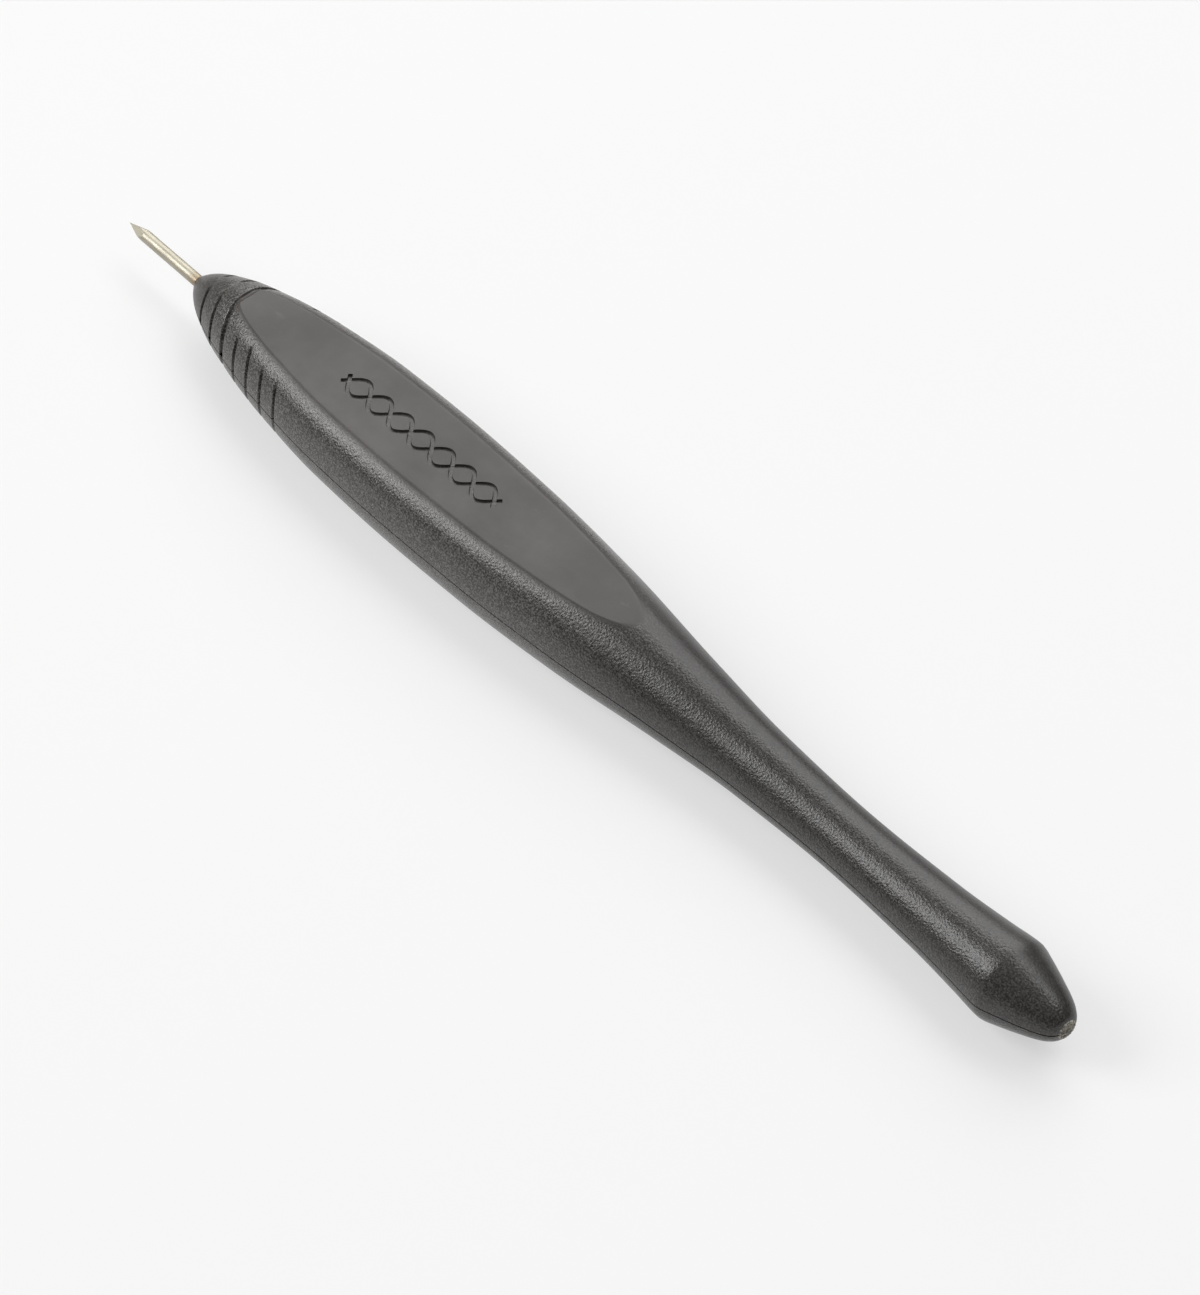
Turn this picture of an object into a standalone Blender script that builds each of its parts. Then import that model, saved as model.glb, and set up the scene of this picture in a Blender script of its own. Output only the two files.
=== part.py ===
"""Scratch awl: a straight steel point held by its tang between two handle halves.

Metres, +Z up, +X towards the point.  The origin is on the surface that the awl lies on,
under the middle of its length.  Along the handle, a "station" is the distance behind the
nose, so a station s lies at X = NOSE_X - s.  Across the handle, heights are measured from
the handle's own long axis.
"""

import math

import bmesh
import bpy

MM = 0.001

# --- overall lengths -------------------------------------------------------------------
HANDLE_LENGTH = 151.5 * MM
BLADE_EXPOSED = 13.1 * MM
NOSE_X = (HANDLE_LENGTH + BLADE_EXPOSED) / 2 - BLADE_EXPOSED

# --- clearances and walls --------------------------------------------------------------
GAP = 0.3 * MM
WALL = 2.2 * MM

# --- handle outline: station behind the nose, radius -----------------------------------
NOSE = (0.0 * MM, 1.45 * MM)
BELLY = (43.0 * MM, 8.68 * MM)
WAIST = (116.0 * MM, 3.98 * MM)
BUTT_RING = (142.0 * MM, 5.4 * MM)
RING_BACK = (143.7 * MM, 5.0 * MM)
CONE_MIDDLE = (147.0 * MM, 3.87 * MM)
BUTT_CONE = (150.0 * MM, 2.6 * MM)
BUTT_ROUND = (151.1 * MM, 1.75 * MM)
BUTT_END = (HANDLE_LENGTH, 1.0 * MM)
OUTLINE = (
    NOSE,
    (1.5 * MM, 2.0 * MM),
    (5.0 * MM, 3.9 * MM),
    (11.0 * MM, 5.7 * MM),
    (20.0 * MM, 7.32 * MM),
    (31.0 * MM, 8.38 * MM),
    BELLY,
    (57.0 * MM, 8.4 * MM),
    (72.0 * MM, 7.46 * MM),
    (88.0 * MM, 5.7 * MM),
    (101.0 * MM, 4.48 * MM),
    WAIST,
    (130.0 * MM, 4.39 * MM),
    BUTT_RING,
    RING_BACK,
    CONE_MIDDLE,
    BUTT_CONE,
    BUTT_ROUND,
    BUTT_END,
)

# --- flats: the top one rises towards the butt, the one underneath is parallel to the axis
TOP_FLAT_START = 10.0 * MM
TOP_FLAT_END = 80.3 * MM
TOP_FLAT_HEIGHT = 5.34 * MM
TOP_FLAT_RISE = 0.018
TOP_BLEND = 4.6 * MM
TOP_CREASE = math.radians(21.0)
WIDEST_FLAT = math.radians(60.0)
LOWER_FLAT_HEIGHT = 5.6 * MM
LOWER_BLEND = 2.6 * MM
INNER_BLEND = 1.3 * MM

# --- grip grooves: each is drawn back at the seam, a little further than the one before --
FIRST_GROOVE = 4.3 * MM
GROOVE_PITCH = 2.75 * MM
GROOVE_COUNT = 7
GROOVES_ALL_ROUND = 3
GROOVE_WIDTH = 0.6 * MM
GROOVE_DEPTH = 0.3 * MM
GROOVE_RUN_OUT = math.radians(12.0)
SIDE_GROOVE_ANGLE = math.radians(46.0)
LAST_GROOVE = FIRST_GROOVE + (GROOVE_COUNT - 1) * GROOVE_PITCH
FIRST_SWEEP = 1.2 * MM
SWEEP_GAIN = 0.1
SWEEP_FADE = 22.0 * MM
SWEEP_FREE_ANGLE = math.radians(15.0)
SWEEP_POWER = 1.5

# --- hollow inside the handle ----------------------------------------------------------
CAVITY_START = 14.0 * MM
CAVITY_END = 145.0 * MM
CAVITY_END_RADIUS = 1.0 * MM

# --- blade: round rod, ground point, tang bent sideways into a foot ----------------------
BLADE_RADIUS = 0.8 * MM
POINT_LENGTH = 3.2 * MM
POINT_FACETS = 4
TANG_END = 46.0 * MM
TANG_BEND_RADIUS = 2.0 * MM
TANG_FOOT = 4.6 * MM

# --- inside the halves -----------------------------------------------------------------
RIB_STATIONS = (22.0 * MM, 31.0 * MM)
RIB_THICKNESS = 1.6 * MM
RIB_SETBACK = 0.35 * MM
ANCHOR_STATIONS = (42.0 * MM, 50.0 * MM)
PINS = ((36.5 * MM, 4.0 * MM), (36.5 * MM, -4.0 * MM), (70.0 * MM, 0.0))
PIN_RADIUS = 1.2 * MM
PIN_REACH = 2.0 * MM
SOCKET_RADIUS = 2.3 * MM

# --- mesh fineness ---------------------------------------------------------------------
HALF_SEGMENTS = 28
INNER_SEGMENTS = 20
ROW_PASSES = 3
GUIDE_SHARE = 0.45
OPEN_GUIDE = math.radians(38.0)
LEAST_GUIDE = math.radians(12.0)
GUIDE_RETURN = 15.0 * MM
ROD_SEGMENTS = 16
BEND_STEPS = 6
LONG_STEP = 4.0 * MM
INNER_STEP = 5.5 * MM
NOSE_STATIONS = (0.0, 0.7 * MM, 1.5 * MM, 2.6 * MM)

UPPER = 1
LOWER = -1


# ======================================================================================
# Shape of the handle
# ======================================================================================

def smooth_curve(points, at):
    """Height of a smooth curve without overshoot through (position, height) points."""
    last = len(points) - 1
    slopes = [(points[i + 1][1] - points[i][1]) / (points[i + 1][0] - points[i][0]) for i in range(last)]
    index = 0
    while index < last - 1 and at > points[index + 1][0]:
        index += 1

    def tangent(i):
        if i == 0:
            return slopes[0]
        if i == last:
            return slopes[last - 1]
        before = slopes[i - 1]
        after = slopes[i]
        if before * after <= 0.0:
            return 0.0
        return 2.0 * before * after / (before + after)

    start, low = points[index]
    end, high = points[index + 1]
    span = end - start
    t = min(max((at - start) / span, 0.0), 1.0)
    low_part = (2 * t ** 3 - 3 * t ** 2 + 1) * low + (t ** 3 - 2 * t ** 2 + t) * span * tangent(index)
    high_part = (3 * t ** 2 - 2 * t ** 3) * high + (t ** 3 - t ** 2) * span * tangent(index + 1)
    return low_part + high_part


def smooth_step(value, start, end):
    """0 before start, 1 after end, eased between."""
    t = min(max((value - start) / (end - start), 0.0), 1.0)
    return t * t * (3.0 - 2.0 * t)


def round_radius(station):
    """Radius of the handle where it is round."""
    return smooth_curve(OUTLINE, station)


def flat_height(station, side):
    """Distance from the handle's axis to the flat on one side."""
    if side == UPPER:
        return TOP_FLAT_HEIGHT + (station - TOP_FLAT_START) * TOP_FLAT_RISE
    return LOWER_FLAT_HEIGHT


def blended_radius(angle, radius, height, blend):
    """Polar radius of a circle with a flat cut across it and its two corners rounded.

    The angle is measured from the middle of the flat.
    """
    if height >= radius:
        return radius
    rise = height - blend
    reach = math.sqrt(max((radius - blend) ** 2 - rise ** 2, 0.0))
    turn = abs(angle)
    if turn >= math.atan2(reach, rise):
        return radius
    if math.tan(turn) * height <= reach:
        return height / math.cos(turn)
    along = reach * math.sin(turn) + rise * math.cos(turn)
    return along + math.sqrt(max(along ** 2 - reach ** 2 - rise ** 2 + blend ** 2, 0.0))


def surface_radius(station, angle, side):
    """Polar radius of the outer surface without its grooves.

    The top flat is cut a little deeper than its blend, which leaves a crease round it.
    """
    radius = round_radius(station)
    height = flat_height(station, side)
    if side == LOWER:
        return blended_radius(angle, radius, height, LOWER_BLEND)
    blend_height = height + TOP_BLEND * (1.0 - math.cos(TOP_CREASE))
    surface = blended_radius(angle, radius, blend_height, TOP_BLEND)
    if abs(angle) < WIDEST_FLAT:
        surface = min(surface, height / math.cos(angle))
    return surface


def crease_angle(station):
    """Angle from the crown at which the top flat ends, 0 where there is no flat."""
    radius = round_radius(station)
    height = flat_height(station, UPPER)
    if height >= radius:
        return 0.0
    rise = height - TOP_BLEND * math.cos(TOP_CREASE)
    reach = math.sqrt(max((radius - TOP_BLEND) ** 2 - rise ** 2, 0.0))
    if math.atan2(reach, rise) <= TOP_CREASE:
        return math.acos(height / radius)
    return math.atan2(reach + TOP_BLEND * math.sin(TOP_CREASE), height)


def groove_cut(base, angle):
    """How far a grip groove cuts below the surface; base is its station on the crown."""
    index = round((base - FIRST_GROOVE) / GROOVE_PITCH)
    if index < 0 or index >= GROOVE_COUNT:
        return 0.0
    offset = abs(base - FIRST_GROOVE - index * GROOVE_PITCH)
    depth = GROOVE_DEPTH * max(1.0 - 2.0 * offset / GROOVE_WIDTH, 0.0)
    if index >= GROOVES_ALL_ROUND:
        depth *= smooth_step(abs(angle), SIDE_GROOVE_ANGLE, SIDE_GROOVE_ANGLE + GROOVE_RUN_OUT)
    return depth


def groove_sweep(base):
    """How far the rows of the surface are drawn back at the seam."""
    if base < FIRST_GROOVE:
        return FIRST_SWEEP * smooth_step(base, 0.0, FIRST_GROOVE)
    sweep = FIRST_SWEEP + (min(base, LAST_GROOVE) - FIRST_GROOVE) * SWEEP_GAIN
    return sweep * (1.0 - smooth_step(base, LAST_GROOVE, LAST_GROOVE + SWEEP_FADE))


def sweep_share(angle):
    """Share of the sweep at an angle from the crown: none on top, all of it at the seam."""
    part = (abs(angle) - SWEEP_FREE_ANGLE) / (math.pi / 2 - SWEEP_FREE_ANGLE)
    return math.sin(math.pi / 2 * min(max(part, 0.0), 1.0)) ** SWEEP_POWER


def guide_angle(station, side):
    """Angle that one column of the outer surface keeps to: the crease round the top flat."""
    if side == LOWER or station < TOP_FLAT_START:
        return OPEN_GUIDE
    opening = smooth_step(station, TOP_FLAT_END, TOP_FLAT_END + GUIDE_RETURN)
    return max(crease_angle(station), LEAST_GUIDE + (OPEN_GUIDE - LEAST_GUIDE) * opening)


def column_angle(station, side, share):
    """Angle of a column; its share runs from -1 at one rim to 1 at the other."""
    rim_angle = math.acos(GAP / 2 / round_radius(station))
    guide = guide_angle(station, side)
    part = abs(share)
    if part < GUIDE_SHARE:
        return math.copysign(guide * part / GUIDE_SHARE, share)
    angle = guide + (rim_angle - guide) * (part - GUIDE_SHARE) / (1.0 - GUIDE_SHARE)
    return math.copysign(angle, share)


def inner_radius(station, angle, side):
    """Polar radius of the hollow."""
    radius = round_radius(station) - WALL
    if station >= CAVITY_END:
        radius = CAVITY_END_RADIUS
    height = flat_height(station, side) - WALL
    return blended_radius(angle, radius, height, INNER_BLEND)


def outer_stations():
    """Stations of the outer surface: close on curves and grooves, wide where it is straight."""
    stations = list(NOSE_STATIONS)
    for index in range(GROOVE_COUNT):
        centre = FIRST_GROOVE + index * GROOVE_PITCH
        stations += [centre - GROOVE_WIDTH / 2, centre, centre + GROOVE_WIDTH / 2]
    for end in (BELLY[0], TOP_FLAT_END, WAIST[0], BUTT_RING[0]):
        start = stations[-1]
        steps = round((end - start) / LONG_STEP)
        stations += [start + (end - start) * step / steps for step in range(1, steps + 1)]
    stations += [RING_BACK[0], CONE_MIDDLE[0], BUTT_CONE[0], BUTT_ROUND[0], HANDLE_LENGTH]
    return stations


def inner_stations():
    """Stations of the hollow."""
    steps = round((CAVITY_END - CAVITY_START) / INNER_STEP)
    return [CAVITY_START + (CAVITY_END - CAVITY_START) * step / steps for step in range(steps + 1)]


# ======================================================================================
# Mesh helpers
# ======================================================================================

def outer_row(base, side):
    """Points across one half of the outer surface, from one rim over the crown to the other."""
    points = []
    for step in range(HALF_SEGMENTS + 1):
        share = 2 * step / HALF_SEGMENTS - 1
        station = base
        for _ in range(ROW_PASSES):
            angle = column_angle(station, side, share)
            station = base + groove_sweep(base) * sweep_share(angle)
        radius = surface_radius(station, angle, side) - groove_cut(base, angle)
        height = max(radius * math.cos(angle), GAP / 2)
        points.append((-station, radius * math.sin(angle), side * height))
    return points


def half_section(station, radius_at, side, rim_height):
    """Points round one half of a cross section, from one rim over the crown to the other."""
    rim_angle = math.acos(rim_height / radius_at(station, math.pi / 2, side))
    points = []
    for step in range(INNER_SEGMENTS + 1):
        angle = rim_angle * (2 * step / INNER_SEGMENTS - 1)
        radius = radius_at(station, angle, side)
        points.append((-station, radius * math.sin(angle), side * radius * math.cos(angle)))
    return points


def inner_row(station, side):
    """Points across one half of the hollow, from one rim to the other."""
    return half_section(station, inner_radius, side, GAP / 2)


def fan(bm, ring):
    """Close a flat ring of vertices with triangles that meet in its middle."""
    middle = bm.verts.new(tuple(sum(vert.co[axis] for vert in ring) / len(ring) for axis in range(3)))
    for vert, following in zip(ring, ring[1:] + ring[:1]):
        bm.faces.new((vert, following, middle))


def skin(bm, rings):
    """Join rows of vertices into a surface."""
    for ring, next_ring in zip(rings, rings[1:]):
        for step in range(len(ring) - 1):
            bm.faces.new((ring[step], ring[step + 1], next_ring[step + 1], next_ring[step]))


def zip_edges(bm, first, second):
    """Fill between two rows of vertices that run side by side along the handle."""
    row, other = 0, 0
    while row < len(first) - 1 or other < len(second) - 1:
        row_done = row == len(first) - 1
        other_done = other == len(second) - 1
        if other_done or (not row_done and first[row + 1].co.x >= second[other + 1].co.x):
            bm.faces.new((first[row], first[row + 1], second[other]))
            row += 1
        else:
            bm.faces.new((first[row], second[other + 1], second[other]))
            other += 1


def half_skin(bm, stations, row_at, side):
    """Rows of vertices over one half of a surface, from one rim to the other."""
    rows = []
    for station in stations:
        rows.append([bm.verts.new(point) for point in row_at(station, side)])
    skin(bm, rows)
    fan(bm, rows[0])
    fan(bm, rows[-1])
    return rows


def add_rod(bm, path, radius, segments):
    """A round rod along a path that lies in a level plane, with flat ends."""
    rings = []
    for index, (x, y) in enumerate(path):
        before = path[max(index - 1, 0)]
        after = path[min(index + 1, len(path) - 1)]
        heading = math.atan2(after[1] - before[1], after[0] - before[0])
        ring = []
        for step in range(segments):
            turn = 2 * math.pi * (step + 0.5) / segments
            aside = radius * math.cos(turn)
            ring.append(bm.verts.new((x - aside * math.sin(heading), y + aside * math.cos(heading),
                                      radius * math.sin(turn))))
        rings.append(ring)
    add_tube(bm, rings)


def add_tube(bm, rings):
    """A closed solid through rings of vertices, with a fan across each end."""
    skin(bm, [ring + ring[:1] for ring in rings])
    fan(bm, rings[0])
    fan(bm, rings[-1])


def add_prism(bm, lower, upper):
    """A closed solid between two outlines with the same number of points."""
    add_tube(bm, [[bm.verts.new(point) for point in outline] for outline in (lower, upper)])


def add_column(bm, station, y, radius, low, high):
    """A round column standing across the handle."""
    circle = [(radius * math.cos(2 * math.pi * step / ROD_SEGMENTS),
               radius * math.sin(2 * math.pi * step / ROD_SEGMENTS)) for step in range(ROD_SEGMENTS)]
    add_prism(bm, [(-station + dx, y + dy, low) for dx, dy in circle],
              [(-station + dx, y + dy, high) for dx, dy in circle])


def finish_mesh(bm, name, smooth):
    """Turn a bmesh into an object whose mesh sits at the nose, on the handle's axis.

    Triangles keep every face plane, which an exact Boolean needs.
    """
    bmesh.ops.triangulate(bm, faces=bm.faces[:])
    bmesh.ops.recalc_face_normals(bm, faces=bm.faces)
    mesh = bpy.data.meshes.new(name)
    bm.to_mesh(mesh)
    bm.free()
    if smooth:
        mesh.shade_smooth()
        mesh.set_sharp_from_angle(angle=math.radians(30))
    obj = bpy.data.objects.new(name, mesh)
    bpy.context.scene.collection.objects.link(obj)
    return obj


def place(obj, parent):
    """Stand an object at the nose, under the empty that carries the handle's axis."""
    obj.parent = parent
    obj.location = (NOSE_X, 0.0, 0.0)


def hide_tool(obj):
    """Mark an object as a tool for a Boolean and not a piece of the awl."""
    obj.hide_render = True
    obj.display_type = 'WIRE'


def combine(obj, tool, operation):
    """Add or cut a tool's shape with an exact Boolean."""
    modifier = obj.modifiers.new(tool.name, 'BOOLEAN')
    modifier.operation = operation
    modifier.solver = 'EXACT'
    modifier.object = tool


def material(name, colour, roughness, metallic):
    """A plain Principled material."""
    made = bpy.data.materials.new(name)
    made.use_nodes = True
    shader = made.node_tree.nodes["Principled BSDF"]
    shader.inputs["Base Color"].default_value = (*colour, 1.0)
    shader.inputs["Roughness"].default_value = roughness
    shader.inputs["Metallic"].default_value = metallic
    return made


# ======================================================================================
# Handle halves
# ======================================================================================

def half_shell(name, side):
    """One hollow half of the handle, open along the split."""
    bm = bmesh.new()
    outer = half_skin(bm, outer_stations(), outer_row, side)
    inner = half_skin(bm, inner_stations(), inner_row, side)
    for edge in (0, -1):
        zip_edges(bm, [row[edge] for row in outer], [row[edge] for row in inner])
    for end in (0, -1):
        bm.faces.new((outer[end][0], outer[end][-1], inner[end][-1], inner[end][0]))
    return finish_mesh(bm, name, smooth=True)


def rib_radius(station, angle, side):
    """Polar radius of a cross rib, which ends halfway into the wall."""
    return inner_radius(station, angle, side) + WALL / 2


def add_ribs(bm, side):
    """The cross ribs that carry the tang, and the solid block round its foot."""
    spans = [(station - RIB_THICKNESS / 2, station + RIB_THICKNESS / 2) for station in RIB_STATIONS]
    spans.append(ANCHOR_STATIONS)
    for start, end in spans:
        add_prism(bm, half_section(start, rib_radius, side, RIB_SETBACK),
                  half_section(end, rib_radius, side, RIB_SETBACK))


def tang_path():
    """Centre line of the blade and tang, from just behind the point to the end of the foot."""
    path = [(BLADE_EXPOSED, 0.0), (BLADE_EXPOSED - POINT_LENGTH, 0.0)]
    bend_start = -(TANG_END - TANG_BEND_RADIUS)
    for step in range(BEND_STEPS + 1):
        turn = math.pi / 2 * step / BEND_STEPS
        path.append((bend_start - TANG_BEND_RADIUS * math.sin(turn),
                     TANG_BEND_RADIUS * (1 - math.cos(turn))))
    path.append((-TANG_END, TANG_FOOT))
    return path


def tang_channel(parent):
    """Tool that clears the tang's channel in both halves."""
    bm = bmesh.new()
    path = tang_path()
    path[-1] = (-TANG_END, TANG_FOOT + GAP)
    add_rod(bm, path, BLADE_RADIUS + GAP, ROD_SEGMENTS)
    tool = finish_mesh(bm, "tang_channel", smooth=False)
    place(tool, parent)
    hide_tool(tool)
    return tool


def build_upper_half(parent, channel):
    """Upper half: ribs, a block round the tang's foot, and locating pins."""
    shell = half_shell("handle_upper_half", UPPER)
    place(shell, parent)

    bm = bmesh.new()
    add_ribs(bm, UPPER)
    for station, y in PINS:
        roof = inner_radius(station, 0.0, UPPER) + WALL / 2
        add_column(bm, station, y, PIN_RADIUS, -PIN_REACH, roof)
    ribs = finish_mesh(bm, "upper_ribs_and_pins", smooth=False)

    place(ribs, parent)
    hide_tool(ribs)
    combine(shell, ribs, 'UNION')
    combine(shell, channel, 'DIFFERENCE')
    return shell


def build_lower_half(parent, channel):
    """Lower half: ribs, the other half of the block, and sockets that take the pins."""
    shell = half_shell("handle_lower_half", LOWER)
    place(shell, parent)

    bm = bmesh.new()
    add_ribs(bm, LOWER)
    ribs = finish_mesh(bm, "lower_ribs", smooth=False)

    bm = bmesh.new()
    for station, y in PINS:
        floor = -inner_radius(station, 0.0, LOWER) - WALL / 2
        add_column(bm, station, y, SOCKET_RADIUS, floor, -RIB_SETBACK - GAP / 2)
    bosses = finish_mesh(bm, "socket_bosses", smooth=False)

    bm = bmesh.new()
    for station, y in PINS:
        add_column(bm, station, y, PIN_RADIUS + GAP, -PIN_REACH - GAP, GAP)
    sockets = finish_mesh(bm, "pin_sockets", smooth=False)

    for tool in (ribs, bosses, sockets):
        place(tool, parent)
        hide_tool(tool)
    combine(shell, ribs, 'UNION')
    combine(shell, bosses, 'UNION')
    combine(shell, channel, 'DIFFERENCE')
    combine(shell, sockets, 'DIFFERENCE')
    return shell


# ======================================================================================
# Blade
# ======================================================================================

def build_blade(parent):
    """Steel rod with a ground point in front and its tang bent into a foot behind."""
    bm = bmesh.new()
    add_rod(bm, tang_path(), BLADE_RADIUS, ROD_SEGMENTS)
    bmesh.ops.recalc_face_normals(bm, faces=bm.faces)
    for facet in range(POINT_FACETS):
        turn = 2 * math.pi * (facet + 0.5) / POINT_FACETS
        normal = (BLADE_RADIUS, POINT_LENGTH * math.cos(turn), POINT_LENGTH * math.sin(turn))
        geometry = bm.verts[:] + bm.edges[:] + bm.faces[:]
        bmesh.ops.bisect_plane(bm, geom=geometry, dist=1e-7, plane_co=(BLADE_EXPOSED, 0.0, 0.0),
                               plane_no=normal, clear_outer=True)
        open_edges = [edge for edge in bm.edges if edge.is_boundary]
        bmesh.ops.holes_fill(bm, edges=open_edges, sides=0)
    bmesh.ops.remove_doubles(bm, verts=bm.verts[:], dist=1e-6)
    blade = finish_mesh(bm, "blade", smooth=True)
    place(blade, parent)
    return blade


def main():
    for obj in list(bpy.data.objects):
        bpy.data.objects.remove(obj, do_unlink=True)

    axis = bpy.data.objects.new("handle_axis", None)
    axis.location = (0.0, 0.0, LOWER_FLAT_HEIGHT)
    bpy.context.scene.collection.objects.link(axis)

    channel = tang_channel(axis)
    upper = build_upper_half(axis, channel)
    lower = build_lower_half(axis, channel)
    blade = build_blade(axis)

    upper.data.materials.append(material("upper_plastic", (0.075, 0.073, 0.070), 0.5, 0.0))
    lower.data.materials.append(material("lower_plastic", (0.070, 0.068, 0.066), 0.52, 0.0))
    blade.data.materials.append(material("blade_steel", (0.72, 0.68, 0.58), 0.3, 1.0))


main()
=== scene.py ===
"""Looks of the scratch awl: fine moulded handle halves, the ground steel blade, stage and camera.

Metres.  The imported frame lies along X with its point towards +X.  Along the handle a
"station" is the distance behind the nose, so a station s lies at X = NOSE_X - s.  Heights
in a cross section are measured from the handle's long axis.
"""

import math

import bmesh
import bpy
from mathutils import Matrix, Quaternion, Vector, noise

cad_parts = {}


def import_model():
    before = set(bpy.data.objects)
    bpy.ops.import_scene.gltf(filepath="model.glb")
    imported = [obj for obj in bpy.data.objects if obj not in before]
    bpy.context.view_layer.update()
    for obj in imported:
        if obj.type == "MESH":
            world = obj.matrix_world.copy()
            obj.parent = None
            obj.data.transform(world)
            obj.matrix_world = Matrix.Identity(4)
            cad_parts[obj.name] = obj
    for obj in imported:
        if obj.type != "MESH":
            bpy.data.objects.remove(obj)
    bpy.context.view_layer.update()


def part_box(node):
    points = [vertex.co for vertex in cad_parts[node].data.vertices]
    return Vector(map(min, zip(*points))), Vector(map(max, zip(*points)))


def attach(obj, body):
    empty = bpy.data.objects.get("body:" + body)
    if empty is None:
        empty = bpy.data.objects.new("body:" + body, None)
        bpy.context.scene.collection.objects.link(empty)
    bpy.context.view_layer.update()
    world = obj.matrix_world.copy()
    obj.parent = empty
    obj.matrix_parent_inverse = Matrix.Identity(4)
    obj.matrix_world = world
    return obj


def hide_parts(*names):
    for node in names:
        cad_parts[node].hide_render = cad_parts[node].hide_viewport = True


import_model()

MM = 0.001
UPPER = 1
LOWER = -1

# --- places taken from the frame ---------------------------------------------------------
shell_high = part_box("handle_upper_half")[1]
blade_low, blade_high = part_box("blade")
NOSE_X = shell_high.x
TIP_X = blade_high.x - 0.003 * MM
AXIS_Z = (blade_low.z + blade_high.z) / 2
BLADE_RADIUS = (blade_high.z - blade_low.z) / 2
TANG_END = NOSE_X - blade_low.x - BLADE_RADIUS

# --- handle outline: station behind the nose, radius ---------------------------------------
OUTLINE = (
    (0.35 * MM, 0.93 * MM),
    (0.6 * MM, 1.15 * MM),
    (1.5 * MM, 1.96 * MM),
    (3.0 * MM, 2.95 * MM),
    (5.0 * MM, 3.88 * MM),
    (8.0 * MM, 4.96 * MM),
    (11.0 * MM, 5.7 * MM),
    (15.0 * MM, 6.55 * MM),
    (20.0 * MM, 7.32 * MM),
    (31.0 * MM, 8.38 * MM),
    (43.0 * MM, 8.66 * MM),
    (57.0 * MM, 8.4 * MM),
    (72.0 * MM, 7.46 * MM),
    (88.0 * MM, 5.68 * MM),
    (101.0 * MM, 4.48 * MM),
    (116.0 * MM, 3.98 * MM),
    (130.0 * MM, 4.39 * MM),
    (138.0 * MM, 5.0 * MM),
    (141.4 * MM, 5.35 * MM),
    (142.1 * MM, 5.38 * MM),
    (142.8 * MM, 5.27 * MM),
    (143.7 * MM, 5.0 * MM),
    (147.0 * MM, 3.87 * MM),
    (149.5 * MM, 2.85 * MM),
    (150.6 * MM, 2.13 * MM),
    (151.05 * MM, 1.63 * MM),
    (151.2 * MM, 1.32 * MM),
)
SCAR_NOISE = (0.35, 2.3, 5.0)
SCAR_ROUGHNESS = 0.12
SCAR_ROWS = ((1.26, 0.02), (1.22, 0.13), (1.1, 0.19), (0.8, 0.1), (0.55, 0.18), (0.28, 0.12))

# --- flats -----------------------------------------------------------------------------
TOP_FLAT_START = 10.0 * MM
TOP_FLAT_HEIGHT = 5.32 * MM
TOP_FLAT_RISE = 0.018
TOP_BLEND = 4.6 * MM
TOP_CREASE = math.radians(21.0)
LOWER_BLEND = 2.6 * MM

# --- grip grooves: they bow back towards the seam, more so from one to the next --------------
FIRST_GROOVE = 4.3 * MM
GROOVE_PITCH = 2.75 * MM
GROOVE_COUNT = 7
GROOVES_ALL_ROUND = 3
FINE_GROOVE = (0.6 * MM, 0.33 * MM)
BROAD_GROOVE = (0.9 * MM, 0.42 * MM)
GROOVE_WALL = 0.3
GROOVE_FLOOR = 0.12
CROWN_DEPTH = 0.3
CROWN_ANGLES = (math.radians(12.0), math.radians(35.0))
BROAD_CROWN_DEPTH = 0.6
BROAD_CROWN_ANGLES = (math.radians(15.0), math.radians(38.0))
FIRST_SWEEP = 1.2 * MM
SWEEP_GAIN = 0.27 / 2.75
SWEEP_FADE = 22.0 * MM
SWEEP_FREE_ANGLE = math.radians(15.0)
SIDE_GROOVE_ANGLES = tuple(math.radians(angle) for angle in (49.0, 46.0, 54.0, 55.0))
SIDE_RUN_OUT = (math.radians(3.0), math.radians(6.0))

# --- split between the halves --------------------------------------------------------------
SPLIT = 0.17 * MM
WALL = 2.2 * MM
LAP_INSET = 0.8 * MM
LAP_DEPTH = 0.5 * MM
LAP_CLEARANCE = 0.1 * MM
CAVITY = (14.0 * MM, 145.0 * MM)

# --- engraved twist on the top flat ---------------------------------------------------------
TWIST_START = 28.7 * MM
TWIST_CELL = 3.74 * MM
TWIST_TAIL = 0.17
TWIST_CELLS = 7
TWIST_REACH = 1.5 * MM
TWIST_STROKE = 0.7 * MM
TWIST_DEPTH = 0.34 * MM
TWIST_DRAFT = 0.12 * MM
SECOND_STRAND_DEPTH = 0.31 * MM

# --- blade -------------------------------------------------------------------------------
POINT_LENGTH = 3.2 * MM
POINT_FACETS = 4
BORE_CLEARANCE = 0.04 * MM
TANG_BEND_RADIUS = 2.0 * MM

# --- mesh fineness -------------------------------------------------------------------------
HALF_SEGMENTS = 120
GUIDE_SHARE = 0.4
OPEN_GUIDE = math.radians(36.0)
LEAST_GUIDE = math.radians(12.0)
GUIDE_OPENING = (81.0 * MM, 93.0 * MM)
INNER_SEGMENTS = 24
INNER_STEPS = 44
ROW_PASSES = 3
NOSE_STEP_IN_MM = 0.14
NOSE_STEPS = 26
GROOVE_STEP = 0.06 * MM
GAP_PARTS = 6
LONG_STEP = 0.5 * MM
CONE_START = 140.0 * MM
CONE_STEPS = 60
LEAST_STEP = 0.03 * MM
BEND_STEPS = 12
CHANNEL_SEGMENTS = 32
ROD_SEGMENTS = 64
STEPS_IN_CELL = 16
SHARP_ANGLE = 35.0
BLADE_SHARP_ANGLE = 12.0

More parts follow.
